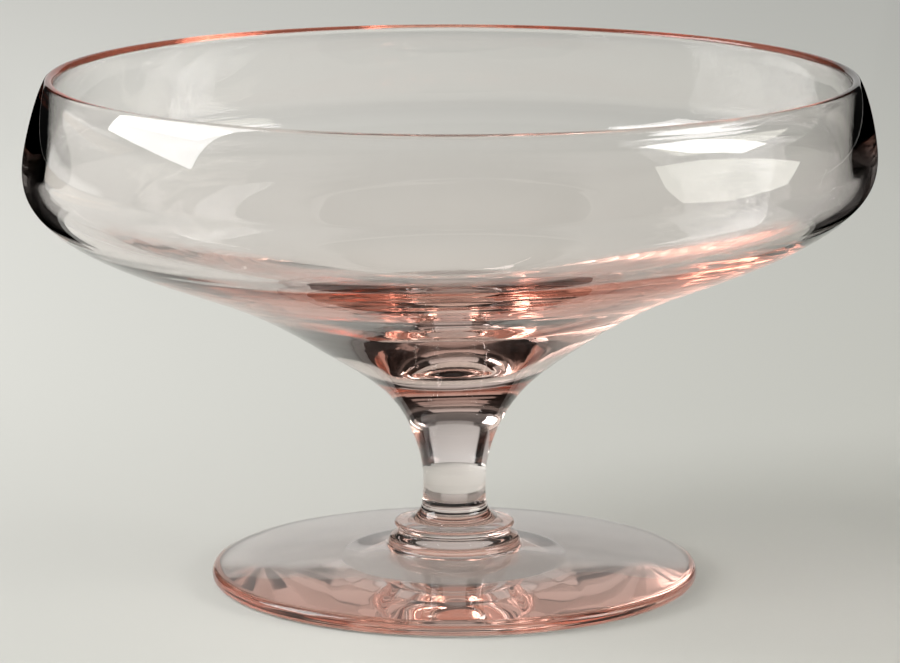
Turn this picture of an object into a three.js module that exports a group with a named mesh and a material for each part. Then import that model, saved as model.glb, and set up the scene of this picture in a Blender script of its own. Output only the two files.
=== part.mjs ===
// A footed sherbet dish in rose-tinted soda glass, 115 mm across and 69 mm tall.
// It is hot-worked from three gathers of glass, each a solid of revolution about Z:
//   foot   a low cone with a raised boss on top and a hollowed base that rests on a flat ring
//   stem   a solid drawn post that spreads below into a thin button, fused on the boss
//   bowl   blown, with a trumpet-shaped underside on the stem, a full shoulder and a leaning rim
// Units are millimetres. +Z is up, and the origin is the centre of the foot's resting plane.
import * as THREE from "three";

// Foot. Heights are above the resting plane.
const FOOT_DIAMETER = 66.4;
const FOOT_EDGE_HEIGHT = 1.05; // of the widest girth
const FOOT_EDGE_THICKNESS = 2.2;
const FOOT_EDGE_ROUND = 1.2; // how far in from the edge its rounded top starts
const FOOT_SLOPE = 6; // degrees, fall of the cone's top
const BOSS_DIAMETER = 18.0;
const BOSS_HEIGHT = 6.6; // of the seat on top of the boss
const BOSS_SIDE_HEIGHT = 5.2; // where the boss stands upright
const BOSS_CROWN_SLOPE = 35; // degrees, fall of the boss beside its seat
const BOSS_FILLET = 0.9; // radius between the boss and the cone
const SEAT_DIAMETER = 15.4; // of the flat face where stem and boss are fused
const RESTING_RING_OUTSIDE = 63.0;
const RESTING_RING_INSIDE = 31.0;
const HOLLOW_DEPTH = 1.5;
const HOLLOW_SLOPE = 6.5; // degrees, rise of the hollow beside the ring

// Stem. Heights are above its seat on the boss.
const STEM_LENGTH = 14.4;
const STEM_WAIST_DIAMETER = 8.5;
const STEM_WAIST_HEIGHT = 6.4;
const BUTTON_DIAMETER = 16.4;
const BUTTON_EDGE_HEIGHT = 1.08;
const BUTTON_EDGE_RADIUS = 0.35;

// Bowl, outside. Heights are above its neck on the stem.
const BOWL_HEIGHT = 48.4;
const NECK_DIAMETER = 12.0; // of the flat face where stem and bowl are fused
const NECK_SLOPE = 67; // degrees, rise of the trumpet at the neck
const FLARE_DIAMETER = 37.0; // where the trumpet runs out into the underside
const FLARE_HEIGHT = 12.0;
const FLARE_SLOPE = 34; // degrees
const HEEL_DIAMETER = 84.6; // where the underside starts to turn up
const HEEL_HEIGHT = 23.6;
const HEEL_SLOPE = 22; // degrees
const SHOULDER_DIAMETER = 115.0; // the widest girth
const SHOULDER_HEIGHT = 37.0;
const RIM_DIAMETER = 108.3; // along the middle of the lip
const RIM_LEAN = 30; // degrees from upright

// Bowl, glass thickness, square to the outside. Between the shoulder and the underside it is
// eased from one station to the next.
const LIP_THICKNESS = 1.3;
const SHOULDER_THICKNESS = 2.28;
const SIDE_THICKNESS = 2.0;
const TURN_THICKNESS = 2.07;
const HEEL_THICKNESS = 2.7;
const UNDERSIDE_THICKNESS = 3.48;
const INSIDE_FLOOR_HEIGHT = 11.9; // inside, on the axis, above the neck
const WALL_THICKNESSES = [
  UNDERSIDE_THICKNESS, HEEL_THICKNESS, TURN_THICKNESS, SIDE_THICKNESS, SHOULDER_THICKNESS,
];

// How far each curve holds its slope at its two ends, as shares of the distance between them.
const UPRIGHT_END_SHARES = [0.45, 0.45];
const BOSS_CROWN_SHARES = [0.4, 0.4];
const HOLLOW_SHARES = [0.35, 0.4];
const BUTTON_TOP_SHARES = [0.455, 0.615];
const STEM_SHARES = [0.4, 0.35];
const TRUMPET_SHARES = [0.374, 0.384];
const UNDERSIDE_SHARES = [0.44, 0.371];
const TURN_UP_SHARES = [0.699, 0.226];
const LEAN_SHARES = [0.198, 0.249];
const INSIDE_FLOOR_SHARES = [0.36, 0.82];

// Where the wall's stations lie along the underside and along the turn up to the shoulder.
const UNDERSIDE_STATION_SHARES = [0.575, 1];
const TURN_UP_STATION_SHARES = [0.225, 0.475, 1];

// Points along the curves and round the axis.
const AROUND = 64;
const SHORT_STEPS = 3;
const STEPS = 5;
const LONG_STEPS = 8;
const FINE_STEPS = 40;

const UP = 90; // degrees, slope of an upright line
const OUT = 0;
const IN = 180;

function heading(slope) {
  const angle = THREE.MathUtils.degToRad(slope);
  return new THREE.Vector2(Math.cos(angle), Math.sin(angle));
}

// A point that lies a distance away from another, in the direction of a slope.
function away(point, slope, distance) {
  return point.clone().addScaledVector(heading(slope), distance);
}

// A smooth curve from start to end that leaves and arrives at the given slopes.
function sweep(start, startSlope, end, endSlope, [startShare, endShare], steps) {
  const reach = start.distanceTo(end);
  const curve = new THREE.CubicBezierCurve(
    start,
    away(start, startSlope, startShare * reach),
    away(end, endSlope, -endShare * reach),
    end,
  );
  return curve.getPoints(steps);
}

// Half a turn round a centre, counter-clockwise, for a rounded edge.
function roundEdge(centre, radius, startSlope, steps) {
  const points = [];
  for (let step = 0; step <= steps; step += 1) {
    points.push(away(centre, startSlope + (IN * step) / steps, radius));
  }
  return points;
}

// Joins curves whose ends meet, and closes the outline on the axis at both ends.
function outline(...curves) {
  const points = [];
  for (const point of curves.flat()) {
    const last = points.at(-1);
    if (!last || !last.equals(point)) points.push(point);
  }
  const bottom = new THREE.Vector2(0, points[0].y);
  const top = new THREE.Vector2(0, points.at(-1).y);
  if (points[0].x > 0) points.unshift(bottom);
  if (points.at(-1).x > 0) points.push(top);
  return points;
}

function secant(stations, values, span) {
  return (values[span + 1] - values[span]) / (stations[span + 1] - stations[span]);
}

// How steeply an eased curve passes one of its stations.
function steepness(stations, values, station) {
  const before = secant(stations, values, Math.max(station - 1, 0));
  const after = secant(stations, values, Math.min(station, stations.length - 2));
  if (before * after <= 0) return 0;
  return (2 * before * after) / (before + after);
}

// A value read between stations. It rises and falls only where the stations' own values do.
function eased(stations, values, place) {
  const span = Math.max(stations.findLastIndex((station) => station < place), 0);
  const start = new THREE.Vector2(stations[span], values[span]);
  const end = new THREE.Vector2(stations[span + 1], values[span + 1]);
  const reach = new THREE.Vector2((end.x - start.x) / 3, 0);
  const leave = reach.clone().setY(reach.x * steepness(stations, values, span));
  const arrive = reach.clone().setY(reach.x * steepness(stations, values, span + 1));
  const curve = new THREE.CubicBezierCurve(start, leave.add(start), end.clone().sub(arrive), end);
  return curve.getPoint((place - start.x) / (end.x - start.x)).y;
}

// The inside of a wall. Some of the outside's points move in, square to the outside, by the
// thickness there. It starts at the first station and ends at the outside's last point.
function lined(outside, stationPoints, thicknesses, pointsApart) {
  const along = [0];
  for (let i = 1; i < outside.length; i += 1) {
    along.push(along[i - 1] + outside[i].distanceTo(outside[i - 1]));
  }
  const stations = stationPoints.map((i) => along[i]);
  const inside = [];
  for (let i = outside.length - 1; i >= stationPoints[0]; i -= pointsApart) {
    const before = outside[i - 1];
    const after = outside[Math.min(i + 1, outside.length - 1)];
    const slope = THREE.MathUtils.radToDeg(after.clone().sub(before).angle());
    inside.unshift(away(outside[i], slope + UP, eased(stations, thicknesses, along[i])));
  }
  return inside;
}

function turned(name, points, material) {
  const geometry = new THREE.LatheGeometry(points, AROUND);
  geometry.rotateX(THREE.MathUtils.degToRad(UP));
  const mesh = new THREE.Mesh(geometry, material);
  mesh.name = name;
  return mesh;
}

function glass() {
  return new THREE.MeshStandardMaterial({
    color: 0xdcc3b8,
    roughness: 0.04,
    metalness: 0,
    transparent: true,
    opacity: 0.45,
  });
}

function foot() {
  const ringInside = new THREE.Vector2(RESTING_RING_INSIDE / 2, 0);
  const ringOutside = new THREE.Vector2(RESTING_RING_OUTSIDE / 2, 0);
  const edge = new THREE.Vector2(FOOT_DIAMETER / 2, FOOT_EDGE_HEIGHT);
  const coneOutside = new THREE.Vector2(FOOT_DIAMETER / 2 - FOOT_EDGE_ROUND, FOOT_EDGE_THICKNESS);
  const bossSide = new THREE.Vector2(BOSS_DIAMETER / 2, BOSS_SIDE_HEIGHT);
  const seatEdge = new THREE.Vector2(SEAT_DIAMETER / 2, BOSS_HEIGHT);
  const hollowTop = new THREE.Vector2(0, HOLLOW_DEPTH);

  // The cone's top, met by the boss's fillet.
  const coneInsideRadius = BOSS_DIAMETER / 2 + BOSS_FILLET;
  const coneRun = coneOutside.x - coneInsideRadius;
  const coneRise = coneRun * Math.tan(THREE.MathUtils.degToRad(FOOT_SLOPE));
  const coneInside = new THREE.Vector2(coneInsideRadius, FOOT_EDGE_THICKNESS + coneRise);

  return turned("foot", outline(
    sweep(hollowTop, OUT, ringInside, -HOLLOW_SLOPE, HOLLOW_SHARES, STEPS),
    [ringOutside],
    sweep(ringOutside, OUT, edge, UP, UPRIGHT_END_SHARES, SHORT_STEPS),
    sweep(edge, UP, coneOutside, IN - FOOT_SLOPE, UPRIGHT_END_SHARES, SHORT_STEPS),
    sweep(coneInside, IN - FOOT_SLOPE, bossSide, UP, UPRIGHT_END_SHARES, SHORT_STEPS),
    sweep(bossSide, UP, seatEdge, IN - BOSS_CROWN_SLOPE, BOSS_CROWN_SHARES, SHORT_STEPS),
  ), glass());
}

function stem() {
  const seatEdge = new THREE.Vector2(SEAT_DIAMETER / 2, 0);
  const edgeRadius = BUTTON_DIAMETER / 2 - BUTTON_EDGE_RADIUS;
  const edgeCentre = new THREE.Vector2(edgeRadius, BUTTON_EDGE_HEIGHT);
  const buttonTop = away(edgeCentre, UP, BUTTON_EDGE_RADIUS);
  const waist = new THREE.Vector2(STEM_WAIST_DIAMETER / 2, STEM_WAIST_HEIGHT);
  const neckEdge = new THREE.Vector2(NECK_DIAMETER / 2, STEM_LENGTH);

  const mesh = turned("stem", outline(
    [seatEdge],
    roundEdge(edgeCentre, BUTTON_EDGE_RADIUS, -UP, STEPS),
    sweep(buttonTop, IN, waist, UP, BUTTON_TOP_SHARES, LONG_STEPS),
    sweep(waist, UP, neckEdge, NECK_SLOPE, STEM_SHARES, STEPS),
  ), glass());
  mesh.position.z = BOSS_HEIGHT;
  return mesh;
}

function bowl() {
  const neckEdge = new THREE.Vector2(NECK_DIAMETER / 2, 0);
  const flare = new THREE.Vector2(FLARE_DIAMETER / 2, FLARE_HEIGHT);
  const heel = new THREE.Vector2(HEEL_DIAMETER / 2, HEEL_HEIGHT);
  const shoulder = new THREE.Vector2(SHOULDER_DIAMETER / 2, SHOULDER_HEIGHT);
  const rimSlope = UP + RIM_LEAN;
  const lipRadius = LIP_THICKNESS / 2;
  const lipCentre = new THREE.Vector2(RIM_DIAMETER / 2, BOWL_HEIGHT - lipRadius);
  const lipOutside = away(lipCentre, rimSlope - UP, lipRadius);
  const lipInside = away(lipCentre, rimSlope + UP, lipRadius);
  const insideFloor = new THREE.Vector2(0, INSIDE_FLOOR_HEIGHT);

  const outside = [
    sweep(flare, FLARE_SLOPE, heel, HEEL_SLOPE, UNDERSIDE_SHARES, FINE_STEPS),
    sweep(heel, HEEL_SLOPE, shoulder, UP, TURN_UP_SHARES, FINE_STEPS).slice(1),
  ].flat();
  const stationPoints = [
    UNDERSIDE_STATION_SHARES.map((share) => Math.round(share * FINE_STEPS)),
    TURN_UP_STATION_SHARES.map((share) => Math.round((1 + share) * FINE_STEPS)),
  ].flat();
  const wall = lined(outside, stationPoints, WALL_THICKNESSES, STEPS);
  const wallSlope = THREE.MathUtils.radToDeg(wall[1].clone().sub(wall[0]).angle());
  const inside = [
    sweep(insideFloor, OUT, wall[0], wallSlope, INSIDE_FLOOR_SHARES, LONG_STEPS),
    wall.slice(1),
    sweep(wall.at(-1), UP, lipInside, rimSlope, LEAN_SHARES, STEPS).slice(1),
  ].flat().reverse();

  const mesh = turned("bowl", outline(
    sweep(neckEdge, NECK_SLOPE, flare, FLARE_SLOPE, TRUMPET_SHARES, STEPS),
    sweep(flare, FLARE_SLOPE, heel, HEEL_SLOPE, UNDERSIDE_SHARES, STEPS),
    sweep(heel, HEEL_SLOPE, shoulder, UP, TURN_UP_SHARES, LONG_STEPS),
    sweep(shoulder, UP, lipOutside, rimSlope, LEAN_SHARES, STEPS),
    roundEdge(lipCentre, lipRadius, rimSlope - UP, STEPS),
    inside,
  ), glass());
  mesh.position.z = BOSS_HEIGHT + STEM_LENGTH;
  return mesh;
}

const sherbetDish = new THREE.Group();
sherbetDish.add(foot(), stem(), bowl());

export default sherbetDish;
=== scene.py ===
# The sherbet dish as it looks: rose-tinted soda glass, hot-worked by hand, on a pale table.
# The dish's sizes are in millimetres and are turned to metres where its meshes are made. The table,
# the cards, the lamps and the camera are in metres. +X is the viewer's right and +Y is away.
import math

import bpy
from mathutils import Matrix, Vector


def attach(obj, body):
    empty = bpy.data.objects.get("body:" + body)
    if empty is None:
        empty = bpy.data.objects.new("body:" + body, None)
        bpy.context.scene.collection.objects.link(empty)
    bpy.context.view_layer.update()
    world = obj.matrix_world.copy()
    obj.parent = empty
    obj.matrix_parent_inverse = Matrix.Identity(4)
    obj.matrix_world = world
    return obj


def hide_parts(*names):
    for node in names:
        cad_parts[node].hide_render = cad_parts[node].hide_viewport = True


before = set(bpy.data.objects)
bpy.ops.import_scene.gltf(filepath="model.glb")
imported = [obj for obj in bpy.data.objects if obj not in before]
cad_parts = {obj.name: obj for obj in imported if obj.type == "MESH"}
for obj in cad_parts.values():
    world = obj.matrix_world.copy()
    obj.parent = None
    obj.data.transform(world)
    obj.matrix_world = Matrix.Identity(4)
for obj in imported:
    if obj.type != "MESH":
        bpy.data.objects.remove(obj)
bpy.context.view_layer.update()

MM = 0.001


# Colours and nodes

# A Mix node's values share their names with its colours, so its sockets go by number.
SHARE = 0
FIRST_VALUE, SECOND_VALUE, MIXED_VALUE = 2, 3, 0
FIRST_COLOUR, SECOND_COLOUR, MIXED_COLOUR = 6, 7, 2


def linear(hex_colour):
    """An sRGB hex colour as linear red, green, blue and 1."""
    channels = [int(hex_colour[i:i + 2], 16) / 255 for i in (1, 3, 5)]
    curve = [c / 12.92 if c <= 0.04045 else ((c + 0.055) / 1.055) ** 2.4 for c in channels]
    return (*curve, 1.0)


def node(tree, kind, settings=None, inputs=None, links=None):
    """Adds one node. inputs are values, and links are output sockets, both by socket name or number."""
    made = tree.nodes.new(kind)
    for name, value in (settings or {}).items():
        setattr(made, name, value)
    for name, value in (inputs or {}).items():
        made.inputs[name].default_value = value
    for name, socket in (links or {}).items():
        tree.links.new(socket, made.inputs[name])
    return made


def empty_material(name):
    material = bpy.data.materials.new(name)
    material.use_nodes = True
    material.node_tree.nodes.clear()
    return material


# The glass

# Soda-lime glass, blown and drawn from the furnace and fire-polished, so its skin is perfectly
# smooth and clear. The rose tint is in the body of the glass: thin walls look almost colourless,
# and only long paths, along the rim, the foot and the floor of the bowl, turn salmon.
SODA_GLASS_IOR = 1.52
FUSED_IOR = 1.0  # of the faces inside a joint, which bend no light
ROSE_TINT = "#f6aa81"
ROSE_TINT_PER_METRE = 15.0


def soda_glass():
    material = empty_material("rose_soda_glass_fire_polished")
    tree = material.node_tree
    skin_ior = node(tree, "ShaderNodeAttribute", {"attribute_name": "ior"})
    surface = node(tree, "ShaderNodeBsdfPrincipled", inputs={
        "Base Color": (1, 1, 1, 1),
        "Roughness": 0.0,
        "Transmission Weight": 1.0,
    }, links={"IOR": skin_ior.outputs["Fac"]})
    volume = node(tree, "ShaderNodeVolumeAbsorption", inputs={
        "Color": linear(ROSE_TINT),
        "Density": ROSE_TINT_PER_METRE,
    })
    node(tree, "ShaderNodeOutputMaterial", links={
        "Surface": surface.outputs["BSDF"],
        "Volume": volume.outputs["Volume"],
    })
    return material


# Curves. A point is a radius and a height, and a slope is in degrees from straight outward.

OUT = 0
UP = 90
IN = 180
DOWN = -90

SAME_PLACE = 1e-6  # two points of a profile that are nearer than this are one


def heading(slope):
    angle = math.radians(slope)
    return math.cos(angle), math.sin(angle)


def away(point, slope, distance):
    across, up = heading(slope)
    return point[0] + across * distance, point[1] + up * distance


def slope_between(start, end):
    return math.degrees(math.atan2(end[1] - start[1], end[0] - start[0]))


def sweep(start, start_slope, end, end_slope, shares, steps):
    """A smooth curve that leaves start and arrives at end at the given slopes.

    The shares say how far it holds each slope, of the distance between start and end.
    """
    reach = math.dist(start, end)
    first = away(start, start_slope, shares[0] * reach)
    second = away(end, end_slope, -shares[1] * reach)
    points = []
    for step in range(steps + 1):
        t = step / steps
        weights = ((1 - t) ** 3, 3 * (1 - t) ** 2 * t, 3 * (1 - t) * t * t, t ** 3)
        points.append(tuple(
            sum(w * p[axis] for w, p in zip(weights, (start, first, second, end)))
            for axis in (0, 1)
        ))
    return points


def round_edge(centre, radius, start_slope, steps):
    """Half a circle, turning left from the point that lies at start_slope from the centre."""
    return [away(centre, start_slope + 180 * step / steps, radius) for step in range(steps + 1)]


def joined(*curves):
    points = []
    for curve in curves:
        for point in curve:
            if not points or math.dist(points[-1], point) > SAME_PLACE:
                points.append(point)
    return points


def smooth_step(low, high, value):
    """0 up to low, 1 from high on, and a smooth rise between them."""
    t = min(max((value - low) / (high - low), 0.0), 1.0)
    return t * t * (3 - 2 * t)


def easy_curve(stations, values, at):
    """A smooth value between stations, that rises and falls only where the values do."""
    steps = [high - low for low, high in zip(stations, stations[1:])]
    slopes = [(high - low) / step for low, high, step in zip(values, values[1:], steps)]
    leaning = [slopes[0]]
    for before, after in zip(slopes, slopes[1:]):
        leaning.append(2 * before * after / (before + after) if before * after > 0 else 0.0)
    leaning.append(slopes[-1])
    place = min(max(at, stations[0]), stations[-1])
    span = next(i for i, station in enumerate(stations[1:]) if place <= station)
    t = (place - stations[span]) / steps[span]
    rise = values[span + 1] - values[span]
    start, end = leaning[span] * steps[span], leaning[span + 1] * steps[span]
    squared = t * t * (3 * rise - 2 * start - end)
    cubed = t ** 3 * (start + end - 2 * rise)
    return values[span] + t * start + squared + cubed


# The foot. Sizes repeat the solids' own, with radii for diameters. Heights are above the table.

FOOT_RADIUS = 33.2
FOOT_EDGE_HEIGHT = 1.05  # of the widest girth
FOOT_EDGE_THICKNESS = 2.2
FOOT_EDGE_ROUND = 1.2  # how far in from the edge its rounded top starts
FOOT_SLOPE = 6
BOSS_RADIUS = 9.0
BOSS_HEIGHT = 6.6  # of the seat on top of the boss
BOSS_SIDE_HEIGHT = 5.2  # where the boss stands upright
BOSS_CROWN_SLOPE = 35
BOSS_FILLET = 0.9
SEAT_RADIUS = 7.7  # of the flat face where stem and boss are fused
RING_OUTSIDE = 31.5
RING_INSIDE = 15.5
HOLLOW_DEPTH = 1.5
HOLLOW_SLOPE = 6.5
HOLLOW_SHARES = (0.35, 0.4)
UPRIGHT_END_SHARES = (0.45, 0.45)
STRAIGHT_SHARES = (0.33, 0.33)
BOSS_CROWN_SHARES = (0.4, 0.4)

# The foot's skin was pressed and turned while soft, which left slow waves in it.
# Each wave has a length, a bearing in degrees and a height.
FOOT_WAVES = [(15.0, 25, 0.011), (10.5, 80, 0.008), (7.5, 140, 0.005), (12.0, 170, 0.007)]
WAVES_FROM = (0.1, 1.0)  # heights between which the waves come in, so that the resting face stays flat

FINE = 24  # steps along a short curve


def foot_profile():
    ring_inside = (RING_INSIDE, 0)
    ring_outside = (RING_OUTSIDE, 0)
    edge = (FOOT_RADIUS, FOOT_EDGE_HEIGHT)
    cone_outside = (FOOT_RADIUS - FOOT_EDGE_ROUND, FOOT_EDGE_THICKNESS)
    boss_side = (BOSS_RADIUS, BOSS_SIDE_HEIGHT)
    seat_edge = (SEAT_RADIUS, BOSS_HEIGHT)
    cone_slope = IN - FOOT_SLOPE
    cone_inside_radius = BOSS_RADIUS + BOSS_FILLET
    run = cone_outside[0] - cone_inside_radius
    cone_inside = (cone_inside_radius, FOOT_EDGE_THICKNESS + run * math.tan(math.radians(FOOT_SLOPE)))
    return joined(
        sweep((0, HOLLOW_DEPTH), OUT, ring_inside, -HOLLOW_SLOPE, HOLLOW_SHARES, FINE),
        [ring_outside],
        sweep(ring_outside, OUT, edge, UP, UPRIGHT_END_SHARES, FINE),
        sweep(edge, UP, cone_outside, cone_slope, UPRIGHT_END_SHARES, FINE),
        sweep(cone_outside, cone_slope, cone_inside, cone_slope, STRAIGHT_SHARES, FINE),
        sweep(cone_inside, cone_slope, boss_side, UP, UPRIGHT_END_SHARES, FINE),
        sweep(boss_side, UP, seat_edge, IN - BOSS_CROWN_SLOPE, BOSS_CROWN_SHARES, FINE),
        [(0, BOSS_HEIGHT)],
    )


def foot_waves(x, y, height):
    """How far the foot's skin is out of place: across, and up."""
    up = 0
    for length, bearing, rise in FOOT_WAVES:
        across, along = heading(bearing)
        up += rise * math.sin(2 * math.pi * (x * across + y * along) / length)
    return 0, up * smooth_step(*WAVES_FROM, height)


# The stem. Heights are above its seat on the boss.

STEM_LENGTH = 14.4
WAIST_RADIUS = 4.25
WAIST_HEIGHT = 6.4
BUTTON_RADIUS = 8.2
BUTTON_EDGE_HEIGHT = 1.08
BUTTON_EDGE_RADIUS = 0.35
NECK_RADIUS = 6.0  # of the flat face where stem and bowl are fused
NECK_SLOPE = 67
BUTTON_TOP_SHARES = (0.455, 0.615)
STEM_SHARES = (0.4, 0.35)


def stem_profile():
    seat_edge = (SEAT_RADIUS, 0)
    centre = (BUTTON_RADIUS - BUTTON_EDGE_RADIUS, BUTTON_EDGE_HEIGHT)
    top = away(centre, UP, BUTTON_EDGE_RADIUS)
    waist = (WAIST_RADIUS, WAIST_HEIGHT)
    neck = (NECK_RADIUS, STEM_LENGTH)
    return joined(
        [(0, 0), seat_edge],
        round_edge(centre, BUTTON_EDGE_RADIUS, DOWN, FINE),
        sweep(top, IN, waist, UP, BUTTON_TOP_SHARES, 2 * FINE),
        sweep(waist, UP, neck, NECK_SLOPE, STEM_SHARES, FINE),
        [(0, STEM_LENGTH)],
    )


# The bowl. Heights are above its neck on the stem.

BOWL_HEIGHT = 48.4
FLARE = (18.5, 12.0)  # where the trumpet runs out into the underside
FLARE_SLOPE = 34
HEEL = (42.3, 23.6)  # where the underside starts to turn up
HEEL_SLOPE = 22
SHOULDER = (57.5, 37.0)  # the widest girth
RIM_RADIUS = 54.15  # along the middle of the lip
RIM_LEAN = 30
LIP_THICKNESS = 1.3
FLOOR_HEIGHT = 11.9  # of the inside, on the axis
TRUMPET_SHARES = (0.374, 0.384)
UNDERSIDE_SHARES = (0.44, 0.371)
TURN_UP_SHARES = (0.699, 0.226)
LEAN_SHARES = (0.198, 0.249)
FLOOR_SHARES = (0.36, 0.82)

# Wall thickness, square to the outside, where the outside has these radii.
WALL_RADII = [32.0, 42.3, 49.0, 54.3, 57.5]
WALL_THICKNESSES = [3.48, 2.7, 2.07, 2.0, 2.28]
RADIUS_SLACK = 0.001  # so that the outside's widest point counts as having the last radius

# How far hand work has left the bowl out of true.
BOWL_LEAN = 0.87  # degrees, of the underside towards the left
LEAN_FROM = (2.0, 12.0)  # heights between which the lean and the shift come in above the neck
LEAN_TO = (28.0, 48.4)  # and between which the lean goes out again, because the rim was cut level
BOWL_SHIFT = 0.3  # of the whole bowl to the left

# The paddle left faint ridges round the underside and inside it. Each has a spacing, a number of
# starts round the bowl and a height.
TOOL_MARKS = [(2.7, 5, 0.003), (4.1, -3, 0.005)]
MARKS_FROM = (16, 26)  # radii between which they come in
MARKS_TO = (46, 54)  # and between which they go out again


def lined(outside):
    """The inside of a wall, from the outside's points and the wall's thickness at the stations."""
    lengths = [0.0]
    for low, high in zip(outside, outside[1:]):
        lengths.append(lengths[-1] + math.dist(low, high))
    stations = [
        next(length for length, point in zip(lengths, outside) if point[0] >= radius - RADIUS_SLACK)
        for radius in WALL_RADII
    ]
    last = len(outside) - 1
    inside = []
    for i, point in enumerate(outside):
        if lengths[i] < stations[0]:
            continue
        slope = UP if i == last else slope_between(outside[i - 1], outside[i + 1])
        thickness = easy_curve(stations, WALL_THICKNESSES, lengths[i])
        inside.append(away(point, slope + 90, thickness))
    return inside


def bowl_profile():
    neck = (NECK_RADIUS, 0)
    rim_slope = UP + RIM_LEAN
    lip_radius = LIP_THICKNESS / 2
    lip = (RIM_RADIUS, BOWL_HEIGHT - lip_radius)
    outside_end = away(lip, rim_slope - 90, lip_radius)
    inside_end = away(lip, rim_slope + 90, lip_radius)

    trumpet = sweep(neck, NECK_SLOPE, FLARE, FLARE_SLOPE, TRUMPET_SHARES, FINE)
    underside = sweep(FLARE, FLARE_SLOPE, HEEL, HEEL_SLOPE, UNDERSIDE_SHARES, 2 * FINE)
    turn_up = sweep(HEEL, HEEL_SLOPE, SHOULDER, UP, TURN_UP_SHARES, 3 * FINE)
    lean_in = sweep(SHOULDER, UP, outside_end, rim_slope, LEAN_SHARES, FINE)

    wall = lined(joined(underside, turn_up))
    inside = joined(
        sweep((0, FLOOR_HEIGHT), OUT, wall[0], slope_between(wall[0], wall[1]), FLOOR_SHARES, 2 * FINE),
        wall,
        sweep(wall[-1], UP, inside_end, rim_slope, LEAN_SHARES, FINE),
    )
    return joined(
        [(0, 0)],
        trumpet,
        underside,
        turn_up,
        lean_in,
        round_edge(lip, lip_radius, rim_slope - 90, FINE),
        inside[::-1],
    )


def tool_marks(x, y, height):
    radius = math.hypot(x, y)
    share = smooth_step(*MARKS_FROM, radius) * (1 - smooth_step(*MARKS_TO, radius))
    up = 0
    for spacing, starts, rise in TOOL_MARKS:
        up += rise * math.sin(2 * math.pi * (radius + height) / spacing + starts * math.atan2(y, x))
    return up * share


def out_of_true(x, y, height):
    """How far the bowl is out of place at a height above its neck: across, and up."""
    above_neck = smooth_step(*LEAN_FROM, height)
    lean = math.radians(BOWL_LEAN) * (above_neck * (1 - smooth_step(*LEAN_TO, height)))
    return -lean * height - BOWL_SHIFT * above_neck, lean * x + tool_marks(x, y, height)


# Turning the profiles

AROUND = 360  # points round a girth
ON_AXIS = 1e-9  # a smaller radius is a single point

# The three gathers are fused, so light passes their joints as if they weren't there. Each joint's
# two flat faces refract nothing, and a hair's breadth between them keeps the pieces apart.
JOINT_GAP = 0.002


def turned(name, profile, base_height, joints, material, bend=None):
    """A solid of revolution. joints are the heights of its fused faces, and 1 or -1 for the way each
    moves to make room."""
    verts = []
    rings = []
    for radius, height in profile:
        lift = sum(side * JOINT_GAP / 2 for joint, side in joints if abs(height - joint) < SAME_PLACE)
        count = 1 if radius < ON_AXIS else AROUND
        rings.append(range(len(verts), len(verts) + count))
        for step in range(count):
            angle = 2 * math.pi * step / AROUND
            x, y = radius * math.cos(angle), radius * math.sin(angle)
            across, up = bend(x, y, height) if bend else (0, 0)
            place = (x + across, y, base_height + height + lift + up)
            verts.append([MM * value for value in place])

    faces = []
    ior = []
    for low, high, (_, start), (_, end) in zip(rings, rings[1:], profile, profile[1:]):
        fused = any(
            abs(start - joint) < SAME_PLACE and abs(end - joint) < SAME_PLACE for joint, _ in joints
        )
        for step in range(AROUND):
            after = (step + 1) % AROUND
            corners = [low[step % len(low)], low[after % len(low)],
                       high[after % len(high)], high[step % len(high)]]
            faces.append(list(dict.fromkeys(corners)))
            ior.append(FUSED_IOR if fused else SODA_GLASS_IOR)

    mesh = bpy.data.meshes.new(name)
    mesh.from_pydata(verts, [], faces)
    mesh.update()
    mesh.attributes.new("ior", "FLOAT", "FACE").data.foreach_set("value", ior)
    mesh.polygons.foreach_set("use_smooth", [True] * len(faces))
    mark_joint_edges(mesh, ior)
    mesh.materials.append(material)
    piece = bpy.data.objects.new(name, mesh)
    bpy.context.scene.collection.objects.link(piece)
    return piece


def mark_joint_edges(mesh, ior):
    """Keeps the skin smooth right up to a joint's edge."""
    kinds = {}
    for polygon, value in zip(mesh.polygons, ior):
        for key in polygon.edge_keys:
            kinds.setdefault(key, set()).add(value)
    for edge in mesh.edges:
        edge.use_edge_sharp = len(kinds[edge.key]) > 1


glass = soda_glass()
foot = turned("foot_glass", foot_profile(), 0, [(BOSS_HEIGHT, -1)], glass, foot_waves)
stem = turned("stem_glass", stem_profile(), BOSS_HEIGHT, [(0, 1), (STEM_LENGTH, -1)], glass)
bowl = turned("bowl_glass", bowl_profile(), BOSS_HEIGHT + STEM_LENGTH, [(0, 1)], glass, out_of_true)
for piece, cad_node in ((foot, "foot"), (stem, "stem"), (bowl, "bowl")):
    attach(piece, "root")
    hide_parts(cad_node)


# Flat pieces for the stage

def flat_piece(name, corners, material):
    mesh = bpy.data.meshes.new(name)
    mesh.from_pydata(corners, [], [tuple(range(len(corners)))])
    mesh.materials.append(material)
    piece = bpy.data.objects.new(name, mesh)
    bpy.context.scene.collection.objects.link(piece)
    return piece


def disc(radius, height, count):
    """The corners of a level disc round the axis."""
    return [(*(radius * value for value in heading(360 * i / count)), height) for i in range(count)]


# The table

TABLE_RADIUS = 3.0
TABLE_CORNERS = 96
TABLE_DROP = -0.00003  # so that the foot stands a hair above it

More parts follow.
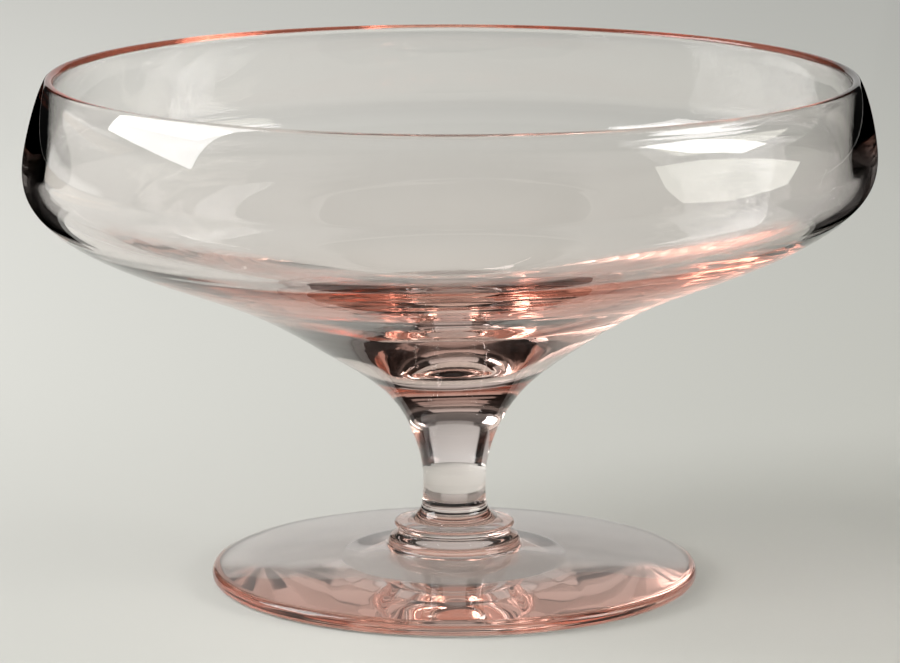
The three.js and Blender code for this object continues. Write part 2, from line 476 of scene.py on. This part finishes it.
# A board painted matt, which shows soft light and shadow and no clear reflections. Its colour is darker
# near the viewer and at the right, which is painted shade where the lamps' light falls off. At the front
# right of the dish and under its foot it is paler, which is painted light in place of the light that the
# glass gathers there.
# Painted shade: the near and the right colours are darker, where the light falls off.
TABLE_NEAR_LEFT = "#cfcfca"
TABLE_NEAR_RIGHT = "#acaca4"
TABLE_FAR_LEFT = "#eaeae6"
TABLE_FAR_RIGHT = "#d0d1cd"
# Painted light: paler colours at the front right of the dish and under its foot.
TABLE_PAINTED_LIGHT_FRONT_RIGHT = "#d6d5cf"
TABLE_PAINTED_LIGHT_UNDER_FOOT = "#f6f5f0"
TABLE_ROUGHNESS = 0.9

# How each share of a colour grows from none, for the painted shade and the painted light: the measure that
# it goes by, the kind of ramp, the two places where it starts and ends, and its most.
TABLE_RAMPS = {
    "right": ("across", "SMOOTHSTEP", -0.2, 0.2, 1.0),
    "far": ("away", "LINEAR", -0.1, 0.7, 1.0),
    "in_front": ("away", "SMOOTHSTEP", 0.04, -0.03, 1.0),
    "painted_light_front_right": ("across", "SMOOTHSTEP", -0.07, -0.01, 0.85),
    "painted_light_under_foot": ("from_axis", "SMOOTHSTEP", 0.0325, 0.0315, 1.0),
}


def matt_pale_board():
    material = empty_material("matt_pale_table")
    tree = material.node_tree
    place = node(tree, "ShaderNodeTexCoord").outputs["Object"]
    split = node(tree, "ShaderNodeSeparateXYZ", links={0: place})
    length = node(tree, "ShaderNodeVectorMath", {"operation": "LENGTH"}, links={0: place})
    measures = {
        "across": split.outputs["X"],
        "away": split.outputs["Y"],
        "from_axis": length.outputs["Value"],
    }
    shares = {}
    for name, (measure, easing, start, end, most) in TABLE_RAMPS.items():
        shares[name] = node(tree, "ShaderNodeMapRange", {"interpolation_type": easing}, {
            "From Min": start,
            "From Max": end,
            "To Max": most,
        }, {"Value": measures[measure]}).outputs["Result"]
    # Painted shade: the board is darker near the viewer and at the right.
    near = node(tree, "ShaderNodeMix", {"data_type": "RGBA"}, {
        FIRST_COLOUR: linear(TABLE_NEAR_LEFT),
        SECOND_COLOUR: linear(TABLE_NEAR_RIGHT),
    }, {SHARE: shares["right"]})
    far = node(tree, "ShaderNodeMix", {"data_type": "RGBA"}, {
        FIRST_COLOUR: linear(TABLE_FAR_LEFT),
        SECOND_COLOUR: linear(TABLE_FAR_RIGHT),
    }, {SHARE: shares["right"]})
    board = node(tree, "ShaderNodeMix", {"data_type": "RGBA"}, links={
        SHARE: shares["far"],
        FIRST_COLOUR: near.outputs[MIXED_COLOUR],
        SECOND_COLOUR: far.outputs[MIXED_COLOUR],
    })
    # Painted light: the share of paler colour at the front right of the dish.
    front_painted_light_share = node(tree, "ShaderNodeMath", {"operation": "MULTIPLY"}, links={
        0: shares["in_front"],
        1: shares["painted_light_front_right"],
    })
    colour = board.outputs[MIXED_COLOUR]
    # Each paler colour is painted light laid over the board, at the front right and under the foot.
    for share, paler in (
        (front_painted_light_share.outputs[0], TABLE_PAINTED_LIGHT_FRONT_RIGHT),
        (shares["painted_light_under_foot"], TABLE_PAINTED_LIGHT_UNDER_FOOT),
    ):
        colour = node(tree, "ShaderNodeMix", {"data_type": "RGBA"}, {
            SECOND_COLOUR: linear(paler),
        }, {SHARE: share, FIRST_COLOUR: colour}).outputs[MIXED_COLOUR]
    surface = node(tree, "ShaderNodeBsdfPrincipled", inputs={"Roughness": TABLE_ROUGHNESS},
                   links={"Base Color": colour})
    node(tree, "ShaderNodeOutputMaterial", links={"Surface": surface.outputs["BSDF"]})
    return material


def table():
    piece = flat_piece("table", disc(TABLE_RADIUS, TABLE_DROP, TABLE_CORNERS), matt_pale_board())


# What the glass reflects. Cards lie and stand round the dish for its reflections alone, and each shows
# only to light that was reflected a given number of times in or on the glass. The room's level changes
# with that number too. No real room does this: both were chosen so that the dark and the pale
# streaks lie where the real dish has them.

LIGHT_BOUNCES = 48
GLOSSY_BOUNCES = 32
TRANSPARENT_BOUNCES = 16

BLACK = "#000000"
WHITE = "#ffffff"
CREAM = "#f3e9dc"
WARM_WHITE = "#fffff4"

# The least and the most times that light was reflected before it meets a card.
FEW_TIMES = (1, 11)
UP_TO_FEW_TIMES = (0, 11)  # so also light that only passed through the glass
MANY_TIMES = (10, 99)


def reflected_between(tree, least, most):
    """1 for light that was reflected at least and at most so many times, and otherwise 0."""
    path = node(tree, "ShaderNodeLightPath")
    return node(tree, "ShaderNodeMath", {"operation": "COMPARE"}, {
        1: (least + most) / 2,
        2: (most - least + 1) / 2,
    }, {0: path.outputs["Glossy Depth"]}).outputs[0]


def card(name, corners, colour=BLACK, radiance=0.0, reflections=FEW_TIMES):
    """A card that the camera and the table don't see, and that casts no shadow."""
    material = empty_material(name)
    tree = material.node_tree
    shown = reflected_between(tree, *reflections)
    clear = node(tree, "ShaderNodeBsdfTransparent")
    lit = node(tree, "ShaderNodeEmission", inputs={"Color": linear(colour), "Strength": radiance})
    mixed = node(tree, "ShaderNodeMixShader", links={
        SHARE: shown,
        1: clear.outputs["BSDF"],
        2: lit.outputs["Emission"],
    })
    node(tree, "ShaderNodeOutputMaterial", links={"Surface": mixed.outputs[0]})
    piece = flat_piece(name, corners, material)
    piece.visible_camera = False
    piece.visible_diffuse = False
    piece.visible_shadow = False


# Cards that lie on the table, by their corners across and away. Where two overlap, the upper one shows.
CARD_HEIGHT = 0.001
FAR_CARD_HEIGHT = 0.0005
MIDDLE_CARD_HEIGHT = 0.0015
LEFT_BLACK = [(-0.078, 0.06), (-0.24, 0.11), (-0.35, 0.28), (-0.9, 0.87), (-2.0, 2.0), (-0.5, 2.9),
              (-0.098, 0.42), (-0.098, 0.25)]
LEFT_BRIGHT = [(-0.55, 0.08), (-1.5, 0.1), (-2.5, 2.0), (-2.0, 2.0), (-0.9, 0.87), (-0.57, 0.52),
               (-0.5, 0.25)]
LEFT_BRIGHT_RADIANCE = 1.5
RIGHT_BLACK = [(0.078, 0.06), (0.094, 0.25), (0.094, 0.42), (0.4, 2.9), (2.9, 0.6), (2.9, -0.2),
               (0.3, -0.1)]
FAR_BLACK = [(0.3, 0.45), (0.9, 1.3), (2.0, 2.0), (0.6, 0.5)]  # the right one of a pair
MIDDLE_BLACK = [(-0.12, 0.10), (-0.6, 2.6), (0.6, 2.6), (0.12, 0.10)]
MIDDLE_REFLECTIONS = (5, 40)

# A card that stands upright at the far end of the middle one.
END_DISTANCE = 2.6
END_HALF_WIDTH = 0.9
END_HEIGHT = 0.2
END_REFLECTIONS = (4, 40)

# A disc between the foot and the table.
UNDER_BOWL_RADIUS = 0.027
UNDER_BOWL_HEIGHT = -0.00002
UNDER_BOWL_CORNERS = 36
UNDER_BOWL_REFLECTIONS = (1, 2)

# Cards in the air, by the bearings and the rises of their corners as seen from the bowl's lower front
# right, in degrees. A bearing is from +Y towards +X.
GLINT_PLACE = (0.03, -0.05, 0.055)
CARD_DISTANCE = 0.7
LOW_DARK = [(38, -1), (75, -1), (75, 12), (38, 12)]
LOW_BRIGHT = [(-92, 1), (-70, 1), (-70, 9), (-92, 12)]
LOW_BRIGHT_RADIANCE = 3.0
STRIP_GLINT = [(126, 27.5), (108, 26.5), (84, 14), (94, 14), (112, 20)]
STRIP_GLINT_RADIANCE = 11.0
PANEL_GLINT = [(124, 17.5), (108, 16), (90, 11), (73, 5), (80, 1), (100, 0), (117, 3), (122, 10)]
PANEL_GLINT_RADIANCE = 4.6


def on_table(points, height=CARD_HEIGHT):
    return [(x, y, height) for x, y in points]


def in_the_air(ways):
    points = []
    for bearing, rise in ways:
        flat, up = heading(rise)
        forward, right = heading(bearing)
        shares = (flat * right, flat * forward, up)
        points.append(tuple(at + CARD_DISTANCE * share for at, share in zip(GLINT_PLACE, shares)))
    return points


def cards_on_table():
    card("black_card_left", on_table(LEFT_BLACK))
    card("bright_card_left", on_table(LEFT_BRIGHT), CREAM, LEFT_BRIGHT_RADIANCE)
    card("black_card_right", on_table(RIGHT_BLACK))
    for name, side in (("far_card_left", -1), ("far_card_right", 1)):
        corners = [(side * x, y) for x, y in FAR_BLACK]
        card(name, on_table(corners, FAR_CARD_HEIGHT), reflections=UP_TO_FEW_TIMES)
    card("black_card_middle", on_table(MIDDLE_BLACK, MIDDLE_CARD_HEIGHT), reflections=MIDDLE_REFLECTIONS)
    card("black_card_end", [
        (-END_HALF_WIDTH, END_DISTANCE, 0),
        (END_HALF_WIDTH, END_DISTANCE, 0),
        (END_HALF_WIDTH, END_DISTANCE, END_HEIGHT),
        (-END_HALF_WIDTH, END_DISTANCE, END_HEIGHT),
    ], reflections=END_REFLECTIONS)
    card("black_card_under_bowl", disc(UNDER_BOWL_RADIUS, UNDER_BOWL_HEIGHT, UNDER_BOWL_CORNERS),
         reflections=UNDER_BOWL_REFLECTIONS)


def low_cards():
    """What shows at the end of the longest paths inside the glass."""
    card("dark_card_low", in_the_air(LOW_DARK), reflections=MANY_TIMES)
    card("bright_card_low", in_the_air(LOW_BRIGHT), WHITE, LOW_BRIGHT_RADIANCE, MANY_TIMES)


def glint_cards():
    """The two right lamps as the glass shows them, in the shapes of their glints."""
    card("right_strip_card", in_the_air(STRIP_GLINT), WHITE, STRIP_GLINT_RADIANCE)
    card("right_panel_card", in_the_air(PANEL_GLINT), WARM_WHITE, PANEL_GLINT_RADIANCE)


# The lamps

POWER_PER_AREA = 4  # watts per square metre that give an area lamp a radiance of 1
LEFT_AIM = (-0.04, -0.04, 0.06)
RIGHT_AIM = (0.03, -0.05, 0.06)

# The glass doesn't show the right lamps, because the glint cards stand for them in it.
SOFTBOXES = {
    "left_softbox": {
        "place": (-0.68, -0.02, 0.50), "width": 0.52, "height": 0.55, "radiance": 6.0,
        "colour": WHITE, "aim": LEFT_AIM, "in_glass": True,
    },
    "right_strip": {
        "place": (0.70, -0.20, 0.34), "width": 0.50, "height": 0.13, "radiance": 6.3,
        "colour": WHITE, "aim": RIGHT_AIM, "in_glass": False,
    },
    "right_panel": {
        "place": (0.66, -0.15, 0.13), "width": 0.50, "height": 0.24, "radiance": 2.7,
        "colour": WARM_WHITE, "aim": RIGHT_AIM, "in_glass": False,
    },
}


def softbox(name, place, width, height, radiance, colour, aim, in_glass):
    light = bpy.data.lights.new(name, "AREA")
    light.shape = "RECTANGLE"
    light.size = width
    light.size_y = height
    light.energy = POWER_PER_AREA * width * height * radiance
    light.color = linear(colour)[:3]
    lamp = bpy.data.objects.new(name, light)
    bpy.context.scene.collection.objects.link(lamp)
    lamp.location = place
    lamp.rotation_euler = (Vector(aim) - Vector(place)).to_track_quat("-Z", "Y").to_euler()
    lamp.visible_camera = False
    lamp.visible_glossy = in_glass
    lamp.visible_transmission = in_glass


# The room, in levels where 1 is white. Each edge has the measure that it goes by, the two angles in
# degrees between which the level changes, and its factors before and after them. A bearing is from +Y
# towards +X, off_middle is the same without its sign, and a rise is above the table's plane. Reflected
# light meets a narrower backdrop.

ROOM_COLOUR = "#fffefa"
BACKDROP_SIDES = [("off_middle", 25, 29, 0.62, 0.0)]
BACKDROP_SIDES_REFLECTED = [("off_middle", 17.5, 19.5, 0.62, 0.0)]
BACKDROP = [("rise", 35, 42, 1.0, 0.0), ("rise", 0, 25, 1.06, 0.78), ("bearing", -25, 25, 1.06, 0.92)]
LEFT_WALL = [("bearing", -48, -42, 0.42, 0.0), ("rise", 38, 52, 1.0, 0.3)]
LEFT_LOW = [("bearing", -80, -72, 0.0, 1.8), ("bearing", -46, -43, 1.0, 0.0), ("rise", 0, 3, 1.0, 0.0)]
RIGHT_BACK = [("bearing", 112, 125, 0.0, 0.42), ("rise", 38, 52, 1.0, 0.3)]
CEILING = [("rise", 40, 55, 0.01, 0.13)]
PLAIN_LEVEL = 0.5  # for the camera and for the light that falls on the table
TRAPPED_LEVEL = 0.6  # for light that was reflected these many times
TRAPPED_REFLECTIONS = (10, 18)


def sine(angle):
    return math.sin(math.radians(angle))


def room_measures(tree):
    """Each measure's socket, with the function that gives its value from an angle in degrees."""
    place = node(tree, "ShaderNodeTexCoord")
    split = node(tree, "ShaderNodeSeparateXYZ", links={0: place.outputs["Generated"]})
    bearing = node(tree, "ShaderNodeMath", {"operation": "ARCTAN2"}, links={
        0: split.outputs["X"],
        1: split.outputs["Y"],
    })
    off_middle = node(tree, "ShaderNodeMath", {"operation": "ABSOLUTE"}, links={0: bearing.outputs[0]})
    return {
        "bearing": (bearing.outputs[0], math.radians),
        "off_middle": (off_middle.outputs[0], math.radians),
        "rise": (split.outputs["Z"], sine),
    }


def part_of_room(tree, measures, edges, level=None):
    """The level of one part of the room: the product of its edges, and of a level if one is given."""
    for measure, start, end, before, after in edges:
        socket, value_at = measures[measure]
        edge = node(tree, "ShaderNodeMapRange", {"interpolation_type": "SMOOTHSTEP"}, {
            "From Min": value_at(start),
            "From Max": value_at(end),
            "To Min": before,
            "To Max": after,
        }, {"Value": socket}).outputs["Result"]
        if level is None:
            level = edge
        else:
            level = node(tree, "ShaderNodeMath", {"operation": "MULTIPLY"}, links={
                0: level,
                1: edge,
            }).outputs[0]
    return level


def studio_room():
    """The room round the table as the glass shows it. The camera and the table get its plain level."""
    world = bpy.data.worlds.new("studio")
    bpy.context.scene.world = world
    world.use_nodes = True
    tree = world.node_tree
    tree.nodes.clear()
    measures = room_measures(tree)

    sides = node(tree, "ShaderNodeMix", {"data_type": "FLOAT"}, links={
        SHARE: reflected_between(tree, 1, LIGHT_BOUNCES),
        FIRST_VALUE: part_of_room(tree, measures, BACKDROP_SIDES),
        SECOND_VALUE: part_of_room(tree, measures, BACKDROP_SIDES_REFLECTED),
    }).outputs[MIXED_VALUE]
    level = part_of_room(tree, measures, BACKDROP, sides)
    for edges in (LEFT_WALL, LEFT_LOW, RIGHT_BACK, CEILING):
        level = node(tree, "ShaderNodeMath", {"operation": "MAXIMUM"}, links={
            0: level,
            1: part_of_room(tree, measures, edges),
        }).outputs[0]

    path = node(tree, "ShaderNodeLightPath")
    plain = node(tree, "ShaderNodeMath", {"operation": "MAXIMUM"}, links={
        0: path.outputs["Is Camera Ray"],
        1: path.outputs["Diffuse Depth"],
    }).outputs[0]
    for share, other_level in (
        (reflected_between(tree, *TRAPPED_REFLECTIONS), TRAPPED_LEVEL),
        (plain, PLAIN_LEVEL),
    ):
        level = node(tree, "ShaderNodeMix", {"data_type": "FLOAT"}, {
            SECOND_VALUE: other_level,
        }, {SHARE: share, FIRST_VALUE: level}).outputs[MIXED_VALUE]

    background = node(tree, "ShaderNodeBackground", inputs={"Color": linear(ROOM_COLOUR)},
                      links={"Strength": level})
    node(tree, "ShaderNodeOutputWorld", links={"Surface": background.outputs["Background"]})


# The camera, fitted to the rim, the shoulder and the foot as they were photographed.

CAMERA_PLACE = (-0.0006, -0.5909, 0.1499)
CAMERA_DIP = 11.08  # degrees below level
CAMERA_LENS = 177.2  # millimetres, and so is the sensor's width
CAMERA_SENSOR = 36


def camera():
    data = bpy.data.cameras.new("camera")
    data.lens = CAMERA_LENS
    data.sensor_width = CAMERA_SENSOR
    eye = bpy.data.objects.new("camera", data)
    bpy.context.scene.collection.objects.link(eye)
    eye.location = CAMERA_PLACE
    eye.rotation_euler = (math.radians(90 - CAMERA_DIP), 0, 0)
    bpy.context.scene.camera = eye


table()
cards_on_table()
low_cards()
for name, settings in SOFTBOXES.items():
    softbox(name, **settings)
glint_cards()
studio_room()
camera()

scene = bpy.context.scene
scene.view_settings.view_transform = "Standard"
scene.cycles.max_bounces = LIGHT_BOUNCES
scene.cycles.transmission_bounces = LIGHT_BOUNCES
scene.cycles.glossy_bounces = GLOSSY_BOUNCES
scene.cycles.transparent_max_bounces = TRANSPARENT_BOUNCES
